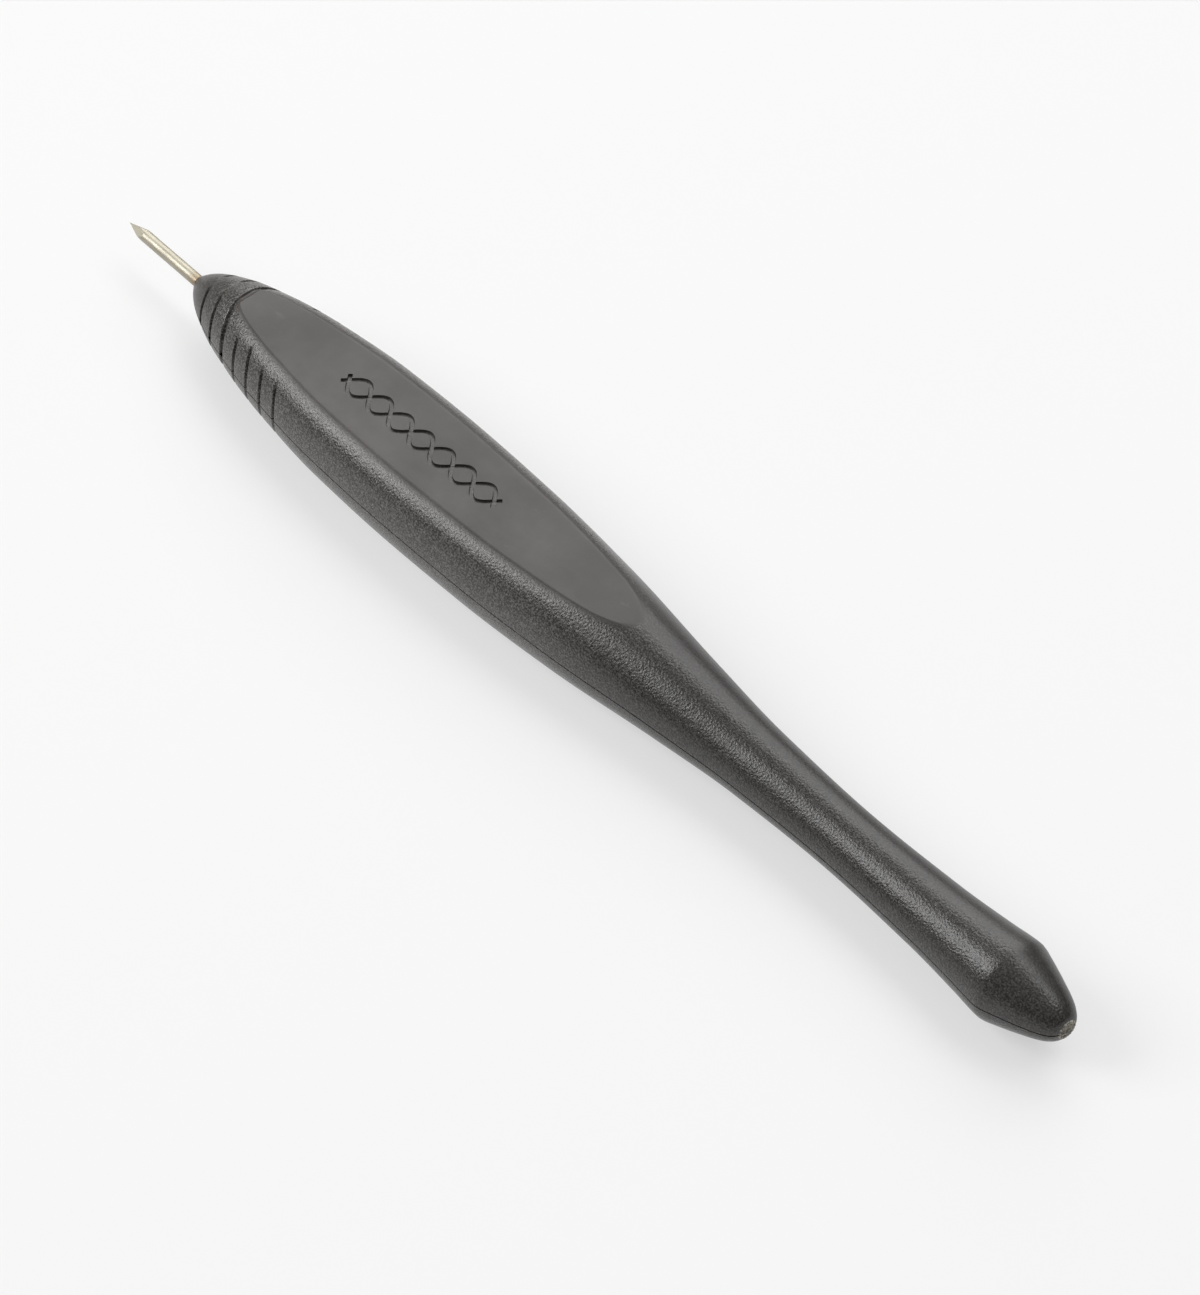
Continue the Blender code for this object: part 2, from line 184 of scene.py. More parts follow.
# --- surface: where the graining fades, where it and its painted glints fade under the soft light, where it is finer, and where painted shade darkens the plastic -----
GRAIN_EDGE = math.radians(0.5)
GRAIN_FADE = math.radians(9.0)
# Stations, angles and share where the spark graining and its painted glints fade on the far side of the
# neck, which the large soft light shows with little sparkle.
GLINT_FADE_STATIONS = (62.0 * MM, 84.0 * MM)
GLINT_FADE_ANGLES = (math.radians(-6.0), math.radians(12.0))
GLINT_FADE_SHARE = 0.6
NOSE_GRAIN = 0.45
NOSE_GRAIN_STATIONS = (3.0 * MM, 8.0 * MM)
# Painted shade: between these stations the plastic's colour darkens towards the butt, in place of the shade
# the rear of the handle lies in.
PAINTED_SHADE_FROM = 68.0 * MM
PAINTED_SHADE_TO = 86.0 * MM


# ======================================================================================
# Handle shape
# ======================================================================================

def smooth_curve(points, at):
    """Height of a smooth curve without overshoot through (position, height) points."""
    last = len(points) - 1
    index = 0
    while index < last - 1 and at > points[index + 1][0]:
        index += 1

    def slope(i):
        return (points[i + 1][1] - points[i][1]) / (points[i + 1][0] - points[i][0])

    def tangent(i):
        if i == 0:
            return slope(0)
        if i == last:
            return slope(last - 1)
        before = slope(i - 1)
        after = slope(i)
        if before * after <= 0.0:
            return 0.0
        return 2.0 * before * after / (before + after)

    start, low = points[index]
    end, high = points[index + 1]
    span = end - start
    t = min(max((at - start) / span, 0.0), 1.0)
    low_part = (2 * t ** 3 - 3 * t ** 2 + 1) * low + (t ** 3 - 2 * t ** 2 + t) * span * tangent(index)
    high_part = (3 * t ** 2 - 2 * t ** 3) * high + (t ** 3 - t ** 2) * span * tangent(index + 1)
    return low_part + high_part


def smooth_step(value, start, end):
    """0 before start, 1 after end, eased between."""
    t = min(max((value - start) / (end - start), 0.0), 1.0)
    return t * t * (3.0 - 2.0 * t)


def flat_height(station, side):
    """Distance from the axis to the flat on one side."""
    if side == UPPER:
        return TOP_FLAT_HEIGHT + (station - TOP_FLAT_START) * TOP_FLAT_RISE
    return AXIS_Z


class Section:
    """Half a cross section of the handle: a circle with a flat, blended into it.

    The top flat also cuts a little into its own blend, which leaves a crease round it.
    """

    def __init__(self, station, side, inset=0.0):
        self.station = station
        self.radius = smooth_curve(OUTLINE, station) - inset
        self.height = flat_height(station, side) - inset
        self.blend = (TOP_BLEND if side == UPPER else LOWER_BLEND) - inset
        crease = TOP_CREASE if side == UPPER else 0.0
        blend_height = self.height + self.blend * (1.0 - math.cos(crease))
        blended = blend_height < self.radius
        self.rise = blend_height - self.blend
        self.reach = math.sqrt(max((self.radius - self.blend) ** 2 - self.rise ** 2, 0.0))
        self.round_angle = math.atan2(self.reach, self.rise) if blended else 0.0
        if self.height >= self.radius:
            self.edge_angle = 0.0
        elif self.round_angle > crease:
            self.edge_angle = math.atan2(self.reach + self.blend * math.sin(crease), self.height)
        else:
            self.edge_angle = math.acos(self.height / self.radius)

    def polar(self, angle):
        """Distance from the axis to the surface."""
        turn = abs(angle)
        if turn < self.edge_angle:
            return self.height / math.cos(turn)
        if turn >= self.round_angle:
            return self.radius
        along = self.reach * math.sin(turn) + self.rise * math.cos(turn)
        off = along ** 2 - self.reach ** 2 - self.rise ** 2 + self.blend ** 2
        return along + math.sqrt(max(off, 0.0))


def groove_sweep(base):
    """How far the surface rows are drawn back at the seam."""
    last = FIRST_GROOVE + (GROOVE_COUNT - 1) * GROOVE_PITCH
    if base < FIRST_GROOVE:
        return FIRST_SWEEP * smooth_step(base, 0.0, FIRST_GROOVE)
    sweep = FIRST_SWEEP + (min(base, last) - FIRST_GROOVE) * SWEEP_GAIN
    return sweep * (1.0 - smooth_step(base, last, last + SWEEP_FADE))


def sweep_share(angle):
    """Share of the sweep at an angle from the crown: none on top, all of it at the seam."""
    part = (abs(angle) - SWEEP_FREE_ANGLE) / (math.pi / 2 - SWEEP_FREE_ANGLE)
    return math.sin(math.pi / 2 * min(max(part, 0.0), 1.0)) ** 1.5


def guide_angle(station, side):
    """Angle that a fixed column of the skin follows: the crease round the top flat."""
    if side == LOWER:
        return OPEN_GUIDE
    edge = Section(station, side).edge_angle
    if edge > 0.0:
        return max(edge, LEAST_GUIDE)
    if station < TOP_FLAT_START + MM:
        return OPEN_GUIDE
    return LEAST_GUIDE + (OPEN_GUIDE - LEAST_GUIDE) * smooth_step(station, *GUIDE_OPENING)


def column_angle(station, side, share, rim_angle):
    """Angle of a column of the skin; share runs from -1 at one rim to 1 at the other."""
    guide = guide_angle(station, side)
    part = abs(share)
    if part < GUIDE_SHARE:
        angle = guide * part / GUIDE_SHARE
    else:
        angle = guide + (rim_angle - guide) * (part - GUIDE_SHARE) / (1.0 - GUIDE_SHARE)
    return math.copysign(angle, share)


def groove_depth(base, angle):
    """Depth of the grip grooves: steep towards the nose, sloping out behind."""
    index = round((base - FIRST_GROOVE) / GROOVE_PITCH)
    if index < 0 or index >= GROOVE_COUNT:
        return 0.0
    width, depth = BROAD_GROOVE if index == GROOVES_ALL_ROUND - 1 else FINE_GROOVE
    part = (base - FIRST_GROOVE - index * GROOVE_PITCH) / width + 0.5
    if part <= 0.0 or part >= 1.0:
        return 0.0
    depth *= smooth_step(part, 0.0, GROOVE_WALL)
    depth *= 1.0 - smooth_step(part, GROOVE_WALL + GROOVE_FLOOR, 1.0)
    if index >= GROOVES_ALL_ROUND:
        start = SIDE_GROOVE_ANGLES[index - GROOVES_ALL_ROUND]
        return depth * smooth_step(abs(angle), start - SIDE_RUN_OUT[0], start + SIDE_RUN_OUT[1])
    least, angles = CROWN_DEPTH, CROWN_ANGLES
    if index == GROOVES_ALL_ROUND - 1:
        least, angles = BROAD_CROWN_DEPTH, BROAD_CROWN_ANGLES
    return depth * (least + (1.0 - least) * smooth_step(abs(angle), *angles))


def outer_stations():
    """Stations of the outer skin: fine across each groove and on the two ends."""
    stations = [OUTLINE[0][0] + step * NOSE_STEP_IN_MM * MM for step in range(NOSE_STEPS)]
    for index in range(GROOVE_COUNT):
        centre = FIRST_GROOVE + index * GROOVE_PITCH
        steps = round(BROAD_GROOVE[0] / 2 / GROOVE_STEP) + 1
        stations += [centre + step * GROOVE_STEP for step in range(-steps, steps + 1)]
        gap_start = centre + (steps + 1) * GROOVE_STEP
        gap = GROOVE_PITCH - 2 * (steps + 1) * GROOVE_STEP
        stations += [gap_start + gap * part / GAP_PARTS for part in range(1, GAP_PARTS)]
    start = stations[-1]
    steps = round((CONE_START - start) / LONG_STEP)
    stations += [start + (CONE_START - start) * step / steps for step in range(1, steps + 1)]
    cone = OUTLINE[-1][0] - CONE_START
    for step in range(1, CONE_STEPS + 1):
        stations.append(CONE_START + cone * math.sin(math.pi / 2 * step / CONE_STEPS))
    stations = sorted(set(round(station, 7) for station in stations))
    return [a for a, b in zip(stations, stations[1:] + [1.0]) if b - a > LEAST_STEP or b == 1.0]


# ======================================================================================
# Mesh helpers
# ======================================================================================

def world(station, y, height):
    """A point given by station, side and height over the axis."""
    return Vector((NOSE_X - station, y, AXIS_Z + height))


def fan(bm, ring):
    """Close a flat ring of vertices with triangles that meet in its middle."""
    middle = bm.verts.new(sum((vert.co for vert in ring), Vector()) / len(ring))
    for vert, following in zip(ring, ring[1:] + ring[:1]):
        bm.faces.new((vert, following, middle))


def skin(bm, rows):
    """Join rows of vertices into a surface."""
    for row, next_row in zip(rows, rows[1:]):
        for step in range(len(row) - 1):
            bm.faces.new((row[step], row[step + 1], next_row[step + 1], next_row[step]))


def tube(bm, rings):
    """A closed solid through rings of vertices."""
    skin(bm, [ring + ring[:1] for ring in rings])
    fan(bm, rings[0])
    fan(bm, rings[-1])


def zip_edges(bm, first, second):
    """Fill between two rows of vertices that run side by side along the handle."""
    row, other = 0, 0
    while row < len(first) - 1 or other < len(second) - 1:
        row_done = row == len(first) - 1
        other_done = other == len(second) - 1
        if other_done or (not row_done and first[row + 1].co.x >= second[other + 1].co.x):
            bm.faces.new((first[row], first[row + 1], second[other]))
            row += 1
        else:
            bm.faces.new((first[row], second[other + 1], second[other]))
            other += 1


def make_object(bm, name, sharp_angle=SHARP_ANGLE):
    """Turn a bmesh into a smooth-shaded object in the row frame."""
    bmesh.ops.recalc_face_normals(bm, faces=bm.faces)
    mesh = bpy.data.meshes.new(name)
    bm.to_mesh(mesh)
    bm.free()
    mesh.shade_smooth()
    mesh.set_sharp_from_angle(angle=math.radians(sharp_angle))
    obj = bpy.data.objects.new(name, mesh)
    bpy.context.scene.collection.objects.link(obj)
    return obj


def cut(obj, bm, name):
    """Cut a shape out of an object and apply the result."""
    bmesh.ops.triangulate(bm, faces=bm.faces[:])
    tool = make_object(bm, name)
    modifier = obj.modifiers.new(name, 'BOOLEAN')
    modifier.operation = 'DIFFERENCE'
    modifier.solver = 'EXACT'
    modifier.object = tool
    evaluated = obj.evaluated_get(bpy.context.evaluated_depsgraph_get())
    mesh = bpy.data.meshes.new_from_object(evaluated)
    obj.modifiers.clear()
    old = obj.data
    obj.data = mesh
    bpy.data.meshes.remove(old)
    bpy.data.objects.remove(tool)


# ======================================================================================
# Handle halves
# ======================================================================================

def half_points(section, side, rim_height, segments):
    """Points round half a section, from one rim over the crown to the other."""
    rim_angle = math.acos(rim_height / section.polar(math.pi / 2))
    points = []
    for step in range(segments + 1):
        angle = rim_angle * (2 * step / segments - 1)
        radius = section.polar(angle)
        height = side * radius * math.cos(angle)
        points.append(world(section.station, radius * math.sin(angle), height))
    return points


def skin_row(base, side):
    """One row of the outer skin, as points with their share of spark graining and of its painted glints."""
    row = []
    for step in range(HALF_SEGMENTS + 1):
        share = 2 * step / HALF_SEGMENTS - 1
        station = base
        for _ in range(ROW_PASSES):
            rim_angle = math.acos(SPLIT / 2 / smooth_curve(OUTLINE, station))
            angle = column_angle(station, side, share, rim_angle)
            station = base + groove_sweep(base) * sweep_share(angle)
        section = Section(station, side)
        radius = section.polar(angle) - groove_depth(base, angle)
        height = max(radius * math.cos(angle), SPLIT / 2)
        grain_and_glints = 1.0
        if section.edge_angle > 0.0:
            edge = section.edge_angle
            grain_and_glints = smooth_step(abs(angle), edge - GRAIN_EDGE, edge + GRAIN_FADE)
        # Less graining and fewer painted glints on the far side of the neck, where the soft light shows
        # little sparkle.
        glint_fade = smooth_step(station, *GLINT_FADE_STATIONS) * smooth_step(-angle, *GLINT_FADE_ANGLES)
        grain_and_glints *= 1.0 - GLINT_FADE_SHARE * glint_fade
        grain_and_glints *= NOSE_GRAIN + (1.0 - NOSE_GRAIN) * smooth_step(base, *NOSE_GRAIN_STATIONS)
        row.append((world(station, radius * math.sin(angle), side * height), grain_and_glints))
    return row


def gate_scar(bm, side, rim):
    """The broken-off gate at the butt end: a low rough stub, closed along the split."""
    rows = [rim]
    base = OUTLINE[-1][0]
    for part, (radius, lift) in enumerate(SCAR_ROWS):
        row = []
        for step in range(HALF_SEGMENTS + 1):
            turn = math.acos(SPLIT / 2 / (radius * MM)) * (2 * step / HALF_SEGMENTS - 1)
            where = Vector((step * SCAR_NOISE[0], part * SCAR_NOISE[1], side * SCAR_NOISE[2]))
            rough = noise.noise(where) * (part > 0)
            y = radius * MM * math.sin(turn)
            z = side * radius * MM * math.cos(turn)
            row.append(bm.verts.new(world(base + (lift - SCAR_ROUGHNESS * rough) * MM, y, z)))
        rows.append(row)
    skin(bm, rows)
    fan(bm, rows[-1])
    bm.faces.new([row[0] for row in rows] + [row[-1] for row in reversed(rows)])


def half_shell(name, side):
    """One half of the handle: outer skin, lapped rim and inner skin, closed all round."""
    bm = bmesh.new()
    grain_and_glints = bm.verts.layers.float.new("grain_and_glints")
    scar = bm.verts.layers.float.new("scar")

    outer = []
    for base in outer_stations():
        row = []
        for point, share in skin_row(base, side):
            vert = bm.verts.new(point)
            vert[grain_and_glints] = share
            row.append(vert)
        outer.append(row)
    skin(bm, outer)
    fan(bm, outer[0])
    before = set(bm.verts)
    gate_scar(bm, side, outer[-1])
    for vert in set(bm.verts) - before:
        vert[grain_and_glints] = 1.0
        vert[scar] = 1.0

    # The upper half's inner edge hangs below the split.  The lower half's stays clear of it
    # along the handle.  At the cavity's two ends their end faces touch in one plane.
    inner_rim = -LAP_DEPTH if side == UPPER else LAP_DEPTH + LAP_CLEARANCE
    lap_inset = LAP_INSET if side == UPPER else LAP_INSET - LAP_CLEARANCE
    start, end = CAVITY
    inner = []
    for step in range(INNER_STEPS + 1):
        station = start + (end - start) * step / INNER_STEPS
        points = half_points(Section(station, side, inset=WALL), side, inner_rim, INNER_SEGMENTS)
        inner.append([bm.verts.new(point) for point in points])
    skin(bm, inner)
    fan(bm, inner[0])
    fan(bm, inner[-1])

    ledges = []
    for hand in (-1, 1):
        ledge_edge = []
        ledge_foot = []
        for step in range(INNER_STEPS + 1):
            station = start + (end - start) * step / INNER_STEPS
            y = hand * (smooth_curve(OUTLINE, station) - lap_inset)
            ledge_edge.append(bm.verts.new(world(station, y, side * SPLIT / 2)))
            ledge_foot.append(bm.verts.new(world(station, y, side * inner_rim)))
        rim = [row[0 if hand < 0 else -1] for row in outer]
        wall = [row[0 if hand < 0 else -1] for row in inner]
        zip_edges(bm, rim, ledge_edge)
        zip_edges(bm, ledge_edge, ledge_foot)
        zip_edges(bm, ledge_foot, wall)
        ledges.append((ledge_edge, ledge_foot))
    (left_edge, left_foot), (right_edge, right_foot) = ledges
    for end_index in (0, -1):
        rim_row = outer[end_index]
        bm.faces.new((rim_row[0], rim_row[-1], right_edge[end_index], left_edge[end_index]))
        bm.faces.new((left_edge[end_index], right_edge[end_index], right_foot[end_index],
                      inner[end_index][-1], inner[end_index][0], left_foot[end_index]))
    return bm


def tang_path():
    """Centre line of the blade and its tang: straight, then bent sideways into the foot."""
    foot_end = blade_high.y
    path = [(TIP_X, 0.0), (TIP_X - POINT_LENGTH, 0.0)]
    straight_end = NOSE_X - TANG_END + TANG_BEND_RADIUS
    for step in range(BEND_STEPS + 1):
        turn = math.pi / 2 * step / BEND_STEPS
        path.append((straight_end - TANG_BEND_RADIUS * math.sin(turn),
                     TANG_BEND_RADIUS * (1 - math.cos(turn))))
    path.append((NOSE_X - TANG_END, foot_end))
    return path


def rod(bm, path, radius, segments):
    """A round rod along a level path."""
    rings = []
    for index, (x, y) in enumerate(path):
        before = path[max(index - 1, 0)]
        after = path[min(index + 1, len(path) - 1)]
        heading = math.atan2(after[1] - before[1], after[0] - before[0])
        ring = []
        for step in range(segments):
            turn = 2 * math.pi * (step + 0.5) / segments
            aside = radius * math.cos(turn)
            point = (x - aside * math.sin(heading), y + aside * math.cos(heading),
                     AXIS_Z + radius * math.sin(turn))
            ring.append(bm.verts.new(point))
        rings.append(ring)
    tube(bm, rings)


def twist_ribbon(hand):
    """One strand of the engraved twist, as the shape that is cut away."""
    bm = bmesh.new()
    tail = TWIST_TAIL * TWIST_CELL
    length = TWIST_CELL * TWIST_CELLS + 2 * tail
    depth = TWIST_DEPTH if hand > 0 else SECOND_STRAND_DEPTH
    steps = STEPS_IN_CELL * TWIST_CELLS
    rings = []
    for step in range(steps + 1):
        along = length * step / steps - tail
        phase = math.pi * along / TWIST_CELL
        across = hand * TWIST_REACH * math.sin(phase)
        slope = hand * TWIST_REACH * math.cos(phase) * math.pi / TWIST_CELL
        tilt = math.atan(slope)
        ring = []
        for offset, level in ((-1, 0), (1, 0), (1, 1), (-1, 1)):
            half_width = TWIST_STROKE / 2 - (0 if level else TWIST_DRAFT)
            station = TWIST_START + along - offset * half_width * math.sin(tilt)
            y = across + offset * half_width * math.cos(tilt)
            lift = depth if level else -depth
            ring.append(bm.verts.new(world(station, y, flat_height(station, UPPER) + lift)))
        rings.append(ring)
    tube(bm, rings)
    return bm


def build_half(name, side, plastic):
    """A finished half of the handle."""
    bm = half_shell(name, side)
    half = make_object(bm, name)
    half.data.materials.append(plastic)
    channel = bmesh.new()
    rod(channel, tang_path(), BLADE_RADIUS + BORE_CLEARANCE, CHANNEL_SEGMENTS)
    cut(half, channel, "channel")
    if side == UPPER:
        cut(half, twist_ribbon(1), "twist_a")
        cut(half, twist_ribbon(-1), "twist_b")
    half.data.set_sharp_from_angle(angle=math.radians(SHARP_ANGLE))
    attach(half, "root")
    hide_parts("handle_upper_half" if side == UPPER else "handle_lower_half")
    return half


# ======================================================================================
# Blade
# ======================================================================================

def build_blade(steel):
    """Round rod with four ground facets that meet in a point."""
    bm = bmesh.new()
    rod(bm, tang_path(), BLADE_RADIUS, ROD_SEGMENTS)
    bmesh.ops.recalc_face_normals(bm, faces=bm.faces)
    for facet in range(POINT_FACETS):
        turn = 2 * math.pi / POINT_FACETS * (facet + 0.5)
        normal = (BLADE_RADIUS, POINT_LENGTH * math.cos(turn), POINT_LENGTH * math.sin(turn))
        geometry = bm.verts[:] + bm.edges[:] + bm.faces[:]
        bmesh.ops.bisect_plane(bm, geom=geometry, dist=1e-7, plane_co=(TIP_X, 0.0, AXIS_Z),
                               plane_no=normal, clear_outer=True)
        open_edges = [edge for edge in bm.edges if edge.is_boundary]
        bmesh.ops.holes_fill(bm, edges=open_edges, sides=0)
    blade = make_object(bm, "blade_rod", sharp_angle=BLADE_SHARP_ANGLE)
    blade.data.materials.append(steel)
    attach(blade, "root")
    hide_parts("blade")
    return blade


# ======================================================================================
# Materials
# ======================================================================================

class Nodes:
    """Short calls for building a node tree."""

    def __init__(self, name):
        self.material = bpy.data.materials.new(name)
        self.material.use_nodes = True
        self.tree = self.material.node_tree
        self.shader = self.tree.nodes["Principled BSDF"]

    def add(self, kind, **settings):
        node = self.tree.nodes.new(kind)
        for key, value in settings.items():
            setattr(node, key, value)
        return node

    def link(self, source, target):
        self.tree.links.new(source, target)

    def coordinates(self, scale=(1, 1, 1)):
        place = self.add("ShaderNodeTexCoord")
        mapping = self.add("ShaderNodeMapping")
        mapping.inputs["Scale"].default_value = scale
        self.link(place.outputs["Object"], mapping.inputs["Vector"])
        return mapping.outputs["Vector"]

    def noise(self, scale, detail=2.0, roughness=0.5, stretch=(1, 1, 1)):
        texture = self.add("ShaderNodeTexNoise")
        texture.inputs["Scale"].default_value = scale
        texture.inputs["Detail"].default_value = detail
        texture.inputs["Roughness"].default_value = roughness
        self.link(self.coordinates(stretch), texture.inputs["Vector"])
        return texture.outputs["Fac"]

    def cells(self, scale):
        texture = self.add("ShaderNodeTexVoronoi", feature='F1')
        texture.inputs["Scale"].default_value = scale
        self.link(self.coordinates(), texture.inputs["Vector"])
        return texture.outputs["Distance"]

    def along_handle(self):
        split = self.add("ShaderNodeSeparateXYZ")
        self.link(self.add("ShaderNodeTexCoord").outputs["Object"], split.inputs["Vector"])
        return split.outputs["X"]

    def attribute(self, name):
        return self.add("ShaderNodeAttribute", attribute_name=name).outputs["Fac"]

    def remap(self, value, low, high, to_low, to_high):
        node = self.add("ShaderNodeMapRange")
        self.link(value, node.inputs["Value"])
        node.inputs["From Min"].default_value = low
        node.inputs["From Max"].default_value = high
        node.inputs["To Min"].default_value = to_low
        node.inputs["To Max"].default_value = to_high
        return node.outputs["Result"]

    def math(self, operation, first, second):
        node = self.add("ShaderNodeMath", operation=operation)
        for socket, value in zip(node.inputs, (first, second)):
            if isinstance(value, (int, float)):
                socket.default_value = value
            else:
                self.link(value, socket)
        return node.outputs[0]

    def mix(self, factor, first, second):
        node = self.add("ShaderNodeMix", data_type='RGBA')
        self.link(factor, node.inputs[0])
        for socket, value in ((node.inputs[6], first), (node.inputs[7], second)):
            if isinstance(value, tuple):
                socket.default_value = (*value, 1.0)
            else:
                self.link(value, socket)
        return node.outputs[2]

    def bump(self, height, distance, strength, below=None):
        node = self.add("ShaderNodeBump")
        node.inputs["Distance"].default_value = distance
        if isinstance(strength, (int, float)):
            node.inputs["Strength"].default_value = strength
        else:
            self.link(strength, node.inputs["Strength"])
        self.link(height, node.inputs["Height"])
        if below is not None:
            self.link(below, node.inputs["Normal"])
        return node.outputs["Normal"]


def charcoal_plastic():
    """Charcoal plastic: spark-grained flanks with painted glints, smoother flats, faint flow marks, pale
    gate scar, painted shade towards the butt.
    """
    n = Nodes("charcoal_plastic")
    grain_and_glint_mask = n.attribute("grain_and_glints")
    scar_mask = n.attribute("scar")
    fine = n.noise(3600.0, 3.0, 0.6)
    pits = n.cells(3400.0)
    glint_specks = n.noise(4200.0, 2.0, 0.6)
    cloud = n.noise(110.0, 4.0, 0.6)
    streak = n.noise(500.0, 3.0, 0.6, stretch=(0.12, 1, 1))
    scratches = n.noise(520.0, 5.0, 0.7, stretch=(0.35, 1, 1))

    tone = n.mix(n.remap(cloud, 0.35, 0.65, 0.0, 1.0), (0.034, 0.0305, 0.0275), (0.059, 0.053, 0.048))
    # Painted shade: the colour darkens towards the butt, in place of the shade the rear of the handle lies
    # in.
    rear_painted_shade = n.remap(n.along_handle(), NOSE_X - PAINTED_SHADE_FROM, NOSE_X - PAINTED_SHADE_TO, 0.0, 1.0)
    tone = n.mix(rear_painted_shade, tone, (0.02, 0.0175, 0.016))
    scuff = n.remap(scratches, 0.64, 0.74, 0.0, 0.35)
    tone = n.mix(scuff, tone, (0.105, 0.099, 0.09))
    # Painted glints: bright specks in the base colour stand in for the sparkle of the spark graining;
    # painted shade dims them, and the dark tone under them, towards the butt.
    glint_speck_mask = n.remap(glint_specks, 0.42, 0.72, 0.0, 1.0)
    painted_glint = n.mix(rear_painted_shade, (0.16, 0.151, 0.143), (0.085, 0.08, 0.076))
    grain_tone_with_glints = n.mix(glint_speck_mask, n.mix(rear_painted_shade, (0.028, 0.0252, 0.023), (0.018, 0.0162, 0.0148)), painted_glint)
    tone = n.mix(grain_and_glint_mask, tone, grain_tone_with_glints)
    broken = n.mix(n.remap(pits, 0.2, 0.7, 0.0, 1.0), (0.62, 0.58, 0.5), (0.16, 0.15, 0.13))
    tone = n.mix(n.math('MULTIPLY', scar_mask, 0.9), tone, broken)
    n.link(tone, n.shader.inputs["Base Color"])

    rough = n.math('ADD', n.remap(grain_and_glint_mask, 0.0, 1.0, 0.42, 0.24), n.remap(streak, 0.3, 0.7, -0.02, 0.03))
    rough = n.math('ADD', rough, n.math('MULTIPLY', scar_mask, 0.2))
    n.link(rough, n.shader.inputs["Roughness"])

    strength = n.remap(grain_and_glint_mask, 0.0, 1.0, 0.04, 0.9)
    normal = n.bump(n.math('ADD', fine, n.math('MULTIPLY', pits, 0.6)), 0.055 * MM, strength)
    normal = n.bump(streak, 0.02 * MM, 0.15, below=normal)
    n.link(normal, n.shader.inputs["Normal"])
    n.shader.inputs["IOR"].default_value = 1.5
    return n.material


def blade_steel():
    """Ground steel with a faint straw tint, and painted brown shade and reflection where it enters the
    nose.
    """
    n = Nodes("blade_steel")
    cloud = n.noise(700.0, 3.0, 0.5)
    lines = n.noise(9000.0, 2.0, 0.5, stretch=(0.06, 1, 1))
    tone = n.mix(cloud, (0.40, 0.375, 0.305), (0.47, 0.44, 0.365))
    # Painted shade and reflection: brown is mixed into the steel just outside the nose, where the handle
    # shades the rod and shows in it.
    root = n.remap(n.along_handle(), NOSE_X - 0.5 * MM, NOSE_X + 1.3 * MM, 0.75, 0.0)
    n.link(n.mix(root, tone, (0.3, 0.2, 0.1)), n.shader.inputs["Base Color"])
    n.shader.inputs["Metallic"].default_value = 1.0
    n.link(n.remap(lines, 0.3, 0.7, 0.42, 0.58), n.shader.inputs["Roughness"])
    n.link(n.bump(lines, 0.004 * MM, 0.3), n.shader.inputs["Normal"])
    return n.material


def pale_paper():
    """Seamless pale floor, lit a little from below like a light table."""
    n = Nodes("pale_floor")
    n.shader.inputs["Base Color"].default_value = (0.345, 0.345, 0.345, 1.0)
    n.shader.inputs["Emission Color"].default_value = (1.0, 1.0, 1.0, 1.0)
    n.shader.inputs["Emission Strength"].default_value = 0.53
    n.shader.inputs["Roughness"].default_value = 0.8
    n.shader.inputs["Specular IOR Level"].default_value = 0.1
    return n.material


# ======================================================================================
# Stage, lights and camera
# ======================================================================================

FLOOR_HALF_SIZE = 6.0
FLOOR_DROP = 0.02 * MM
DIM_SURROUND = 0.12
BRIGHT_SURROUND = 0.45


def build_floor():
    """A wide level sheet under the awl."""
    bm = bmesh.new()
    bmesh.ops.create_grid(bm, x_segments=1, y_segments=1, size=FLOOR_HALF_SIZE)
    floor = make_object(bm, "floor")
    floor.location.z = -FLOOR_DROP
    floor.data.materials.append(pale_paper())


def softbox(name, direction, distance, length, width, power):
    """A rectangular area light that looks at the awl; its length runs along the handle."""
    light = bpy.data.lights.new(name, 'AREA')
    light.shape = 'RECTANGLE'
    light.size = length
    light.size_y = width
    light.energy = power
    facing = Vector(direction).normalized()
    across = facing.cross(Vector((1.0, 0.0, 0.0))).normalized()
    along = across.cross(facing)
    obj = bpy.data.objects.new(name, light)
    obj.location = facing * distance
    obj.rotation_mode = 'QUATERNION'
    obj.rotation_quaternion = Matrix((along, across, facing)).transposed().to_quaternion()
    bpy.context.scene.collection.objects.link(obj)


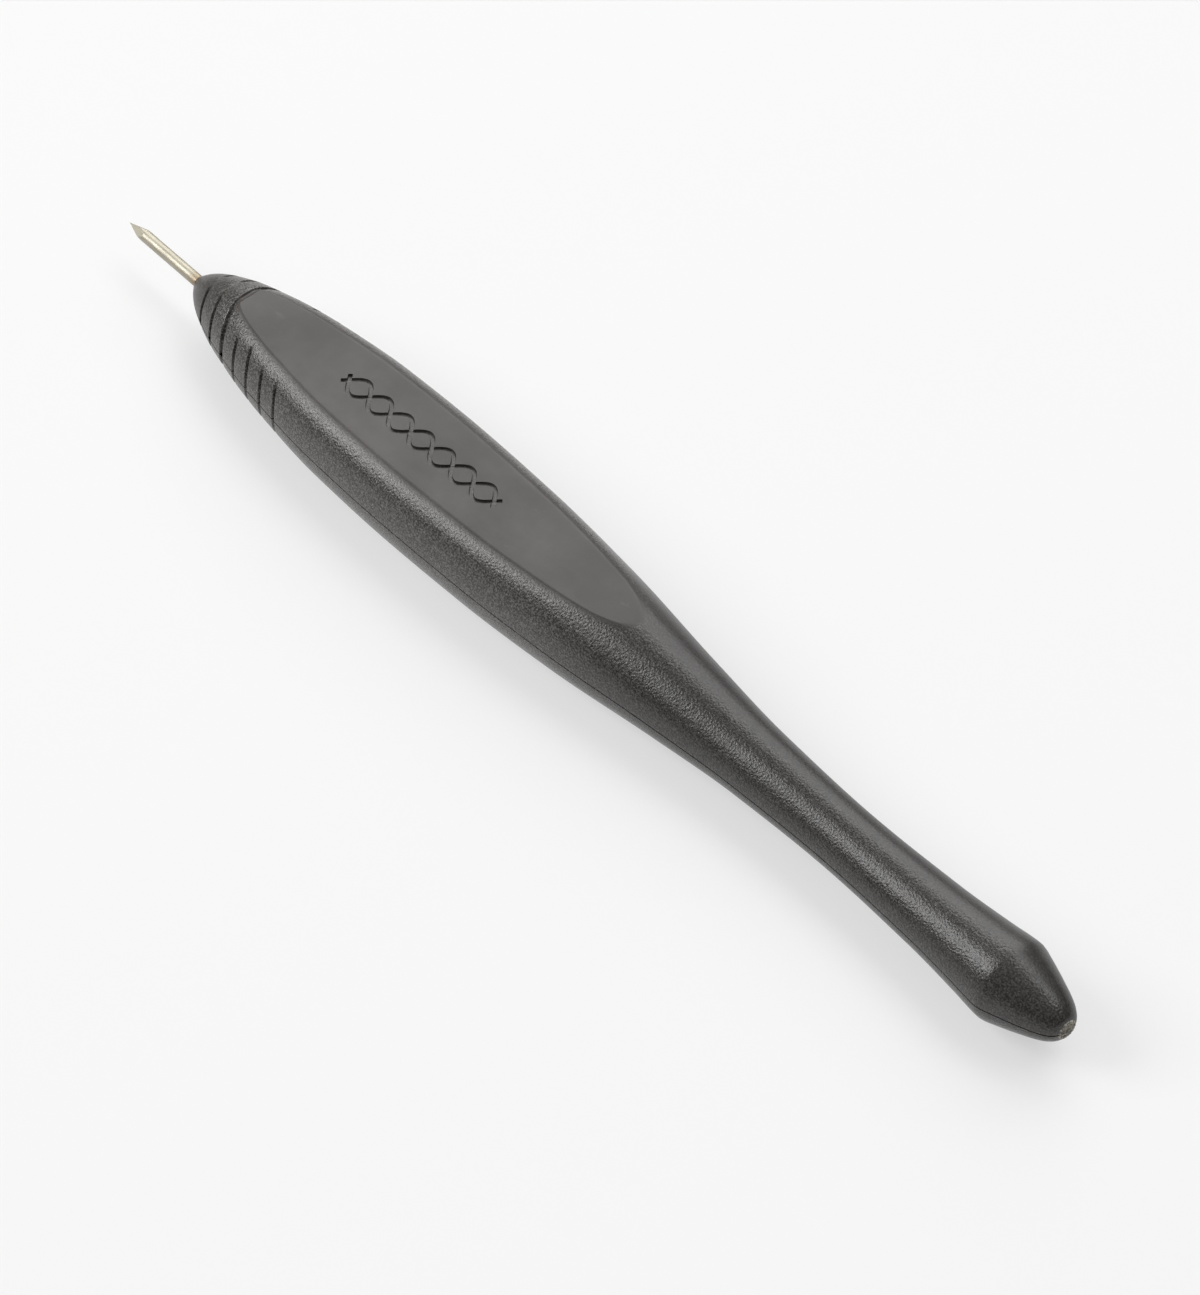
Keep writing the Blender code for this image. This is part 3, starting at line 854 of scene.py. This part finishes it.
def build_lights():
    """Three softboxes in a dim surround that is brighter overhead."""
    softbox("back_softbox", (0.49, -0.59, 0.645), 1.6, 1.5, 1.3, 17.0)
    softbox("left_softbox", (0.60, 0.52, 0.61), 1.6, 0.9, 0.85, 15.5)
    softbox("side_softbox", (-0.20, -0.45, 0.87), 1.6, 0.9, 0.8, 6.0)
    surround = bpy.data.worlds.new("studio")
    surround.use_nodes = True
    tree = surround.node_tree
    place = tree.nodes.new("ShaderNodeTexCoord")
    split = tree.nodes.new("ShaderNodeSeparateXYZ")
    level = tree.nodes.new("ShaderNodeMapRange")
    level.inputs["From Min"].default_value = 0.3
    level.inputs["From Max"].default_value = 1.0
    level.inputs["To Min"].default_value = DIM_SURROUND
    level.inputs["To Max"].default_value = BRIGHT_SURROUND
    tree.links.new(place.outputs["Generated"], split.inputs["Vector"])
    tree.links.new(split.outputs["Z"], level.inputs["Value"])
    background = tree.nodes["Background"]
    background.inputs["Color"].default_value = (1.0, 1.0, 1.0, 1.0)
    tree.links.new(level.outputs["Result"], background.inputs["Strength"])
    bpy.context.scene.world = surround
    bpy.context.scene.view_settings.view_transform = 'Standard'


CAMERA_AZIMUTH = math.radians(228.594)
CAMERA_ELEVATION = math.radians(49.4)
CAMERA_DISTANCE = 0.78
SENSOR_WIDTH = 36.0
LONG_SIDE_FIELD = 0.14932
AIM_STATION = 76.0 * MM
AIM_RIGHT = -1.615 * MM
AIM_UP = -0.942 * MM
CAMERA_ROLL = 0.0014


def build_camera():
    """Camera behind the butt end and to the +Y side, looking down on the awl."""
    data = bpy.data.cameras.new("camera")
    camera = bpy.data.objects.new("camera", data)
    bpy.context.scene.collection.objects.link(camera)
    back = Vector((math.sin(CAMERA_AZIMUTH) * math.cos(CAMERA_ELEVATION),
                   -math.cos(CAMERA_AZIMUTH) * math.cos(CAMERA_ELEVATION),
                   math.sin(CAMERA_ELEVATION)))
    right = Vector((0.0, 0.0, 1.0)).cross(back).normalized()
    up = back.cross(right)
    aim = world(AIM_STATION, 0.0, 0.0) + right * AIM_RIGHT + up * AIM_UP
    camera.location = aim + back * CAMERA_DISTANCE
    camera.rotation_mode = 'QUATERNION'
    camera.rotation_quaternion = back.to_track_quat('Z', 'Y') @ Quaternion((0.0, 0.0, 1.0), CAMERA_ROLL)
    data.sensor_width = SENSOR_WIDTH
    data.lens = data.sensor_width * CAMERA_DISTANCE / LONG_SIDE_FIELD
    data.clip_start = 0.01
    data.clip_end = 20.0
    bpy.context.scene.camera = camera


# ======================================================================================

build_camera()
plastic = charcoal_plastic()
build_half("upper_half_fine", UPPER, plastic)
build_half("lower_half_fine", LOWER, plastic)
build_blade(blade_steel())
build_floor()
build_lights()
